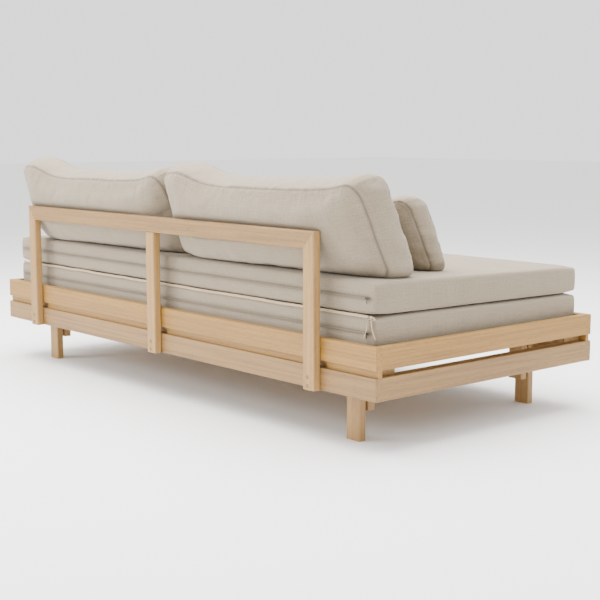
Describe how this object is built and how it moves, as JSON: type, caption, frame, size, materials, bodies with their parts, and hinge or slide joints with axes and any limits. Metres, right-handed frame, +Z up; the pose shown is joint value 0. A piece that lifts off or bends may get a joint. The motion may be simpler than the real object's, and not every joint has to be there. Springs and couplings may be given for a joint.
{
  "type": "daybed",
  "caption": "Low oak daybed of stacked bed rings with a rear backrest rail, stacked mattresses and loose back cushions; the upper ring and all cushions lift off.",
  "frame": {"origin": "on the floor, under the centre of the whole outline", "axes": "+X along the bed, +Y towards the back frame, +Z up; the sitter faces -Y"},
  "size_m": [2.088, 0.995, 0.7834],
  "materials": {
    "oak_lower": "clear oiled light oak",
    "oak_back": "clear oiled light oak",
    "oak_upper": "clear oiled light oak",
    "pine": "planed, unfinished",
    "beech_dowel": "fluted, unfinished",
    "zinc_screw": "zinc plated",
    "steel_bolt": "zinc plated, satin",
    "linen_cover": "woven beige-grey melange",
    "foam": "open-cell foam",
    "fibre_filling": "loose fibre filling",
    "zip_tape": "woven zip tape with moulded teeth",
    "zip_slider": "lacquered die-cast",
    "cotton_tape": "plain woven cotton tape"
  },
  "bodies": {
    "lower_frame": {"lower_front_board": "oak_lower", "lower_rear_board": "oak_lower", "lower_left_board": "oak_lower", "lower_right_board": "oak_lower", "left_end_cleat": "oak_lower", "right_end_cleat": "oak_lower", "lower_front_rail": "oak_lower", "lower_rear_rail": "oak_lower", "lower_front_left_leg": "oak_lower", "lower_front_right_leg": "oak_lower", "lower_rear_left_leg": "oak_lower", "lower_rear_right_leg": "oak_lower", "back_top_rail": "oak_back", "left_back_post": "oak_back", "middle_back_post": "oak_back", "right_back_post": "oak_back", "lower_corner_dowels": "beech_dowel", "cleat_screws": "zinc_screw", "lower_leg_screws": "zinc_screw", "back_dowels": "beech_dowel", "back_bolts": "steel_bolt", "back_nuts": "steel_bolt"},
    "upper_frame": {"upper_front_board": "oak_upper", "upper_rear_board": "oak_upper", "upper_left_board": "oak_upper", "upper_right_board": "oak_upper", "front_spacer": "oak_upper", "rear_spacers": "oak_upper", "upper_front_left_leg": "oak_upper", "upper_front_right_leg": "oak_upper", "upper_rear_left_leg": "oak_upper", "upper_rear_right_leg": "oak_upper", "front_bearer": "pine", "rear_bearer": "pine", "front_slat_rail": "pine", "rear_slat_rail": "pine", "slats": "pine", "upper_corner_dowels": "beech_dowel", "bearer_dowels": "beech_dowel", "upper_leg_screws": "zinc_screw", "slat_screws": "zinc_screw"},
    "lower_mattress": {"lower_mattress_cover": "linen_cover", "lower_mattress_foam": "foam", "lower_mattress_zip": "zip_tape"},
    "lower_zip_slider": {"lower_zip_slider": "zip_slider"},
    "upper_mattress": {"upper_mattress_cover": "linen_cover", "upper_mattress_foam": "foam", "upper_mattress_zip": "zip_tape", "tie_tape": "cotton_tape", "tie_knot": "cotton_tape", "tie_tail_outer": "cotton_tape", "tie_tail_inner": "cotton_tape"},
    "upper_zip_slider": {"upper_zip_slider": "zip_slider"},
    "left_back_cushion": {"left_back_cushion_cover": "linen_cover", "left_back_cushion_filling": "fibre_filling"},
    "right_back_cushion": {"right_back_cushion_cover": "linen_cover", "right_back_cushion_filling": "fibre_filling"},
    "small_cushion": {"small_cushion_cover": "linen_cover", "small_cushion_filling": "fibre_filling"}
  },
  "joints": [
    {"name": "upper_frame_lift", "type": "slide", "parent": "lower_frame", "child": "upper_frame", "axis": [0, 0, 1], "range_m": [0, 0.2]},
    {"name": "lower_mattress_lift", "type": "slide", "parent": "upper_frame", "child": "lower_mattress", "axis": [0, 0, 1], "range_m": [0, 0.2]},
    {"name": "lower_zip_slide", "type": "slide", "parent": "lower_mattress", "child": "lower_zip_slider", "axis": [1, 0, 0], "range_m": [0, 1.95]},
    {"name": "upper_mattress_lift", "type": "slide", "parent": "lower_mattress", "child": "upper_mattress", "axis": [0, 0, 1], "range_m": [0, 0.2]},
    {"name": "upper_zip_slide", "type": "slide", "parent": "upper_mattress", "child": "upper_zip_slider", "axis": [1, 0, 0], "range_m": [0, 1.95]},
    {"name": "left_back_cushion_lift", "type": "slide", "parent": "upper_mattress", "child": "left_back_cushion", "axis": [0, 0.4113, 0.9115], "range_m": [0, 0.25]},
    {"name": "right_back_cushion_lift", "type": "slide", "parent": "upper_mattress", "child": "right_back_cushion", "axis": [0, 0.4113, 0.9115], "range_m": [0, 0.25]},
    {"name": "small_cushion_lift", "type": "slide", "parent": "upper_mattress", "child": "small_cushion", "axis": [0, 0, 1], "range_m": [0, 0.2]}
  ]
}
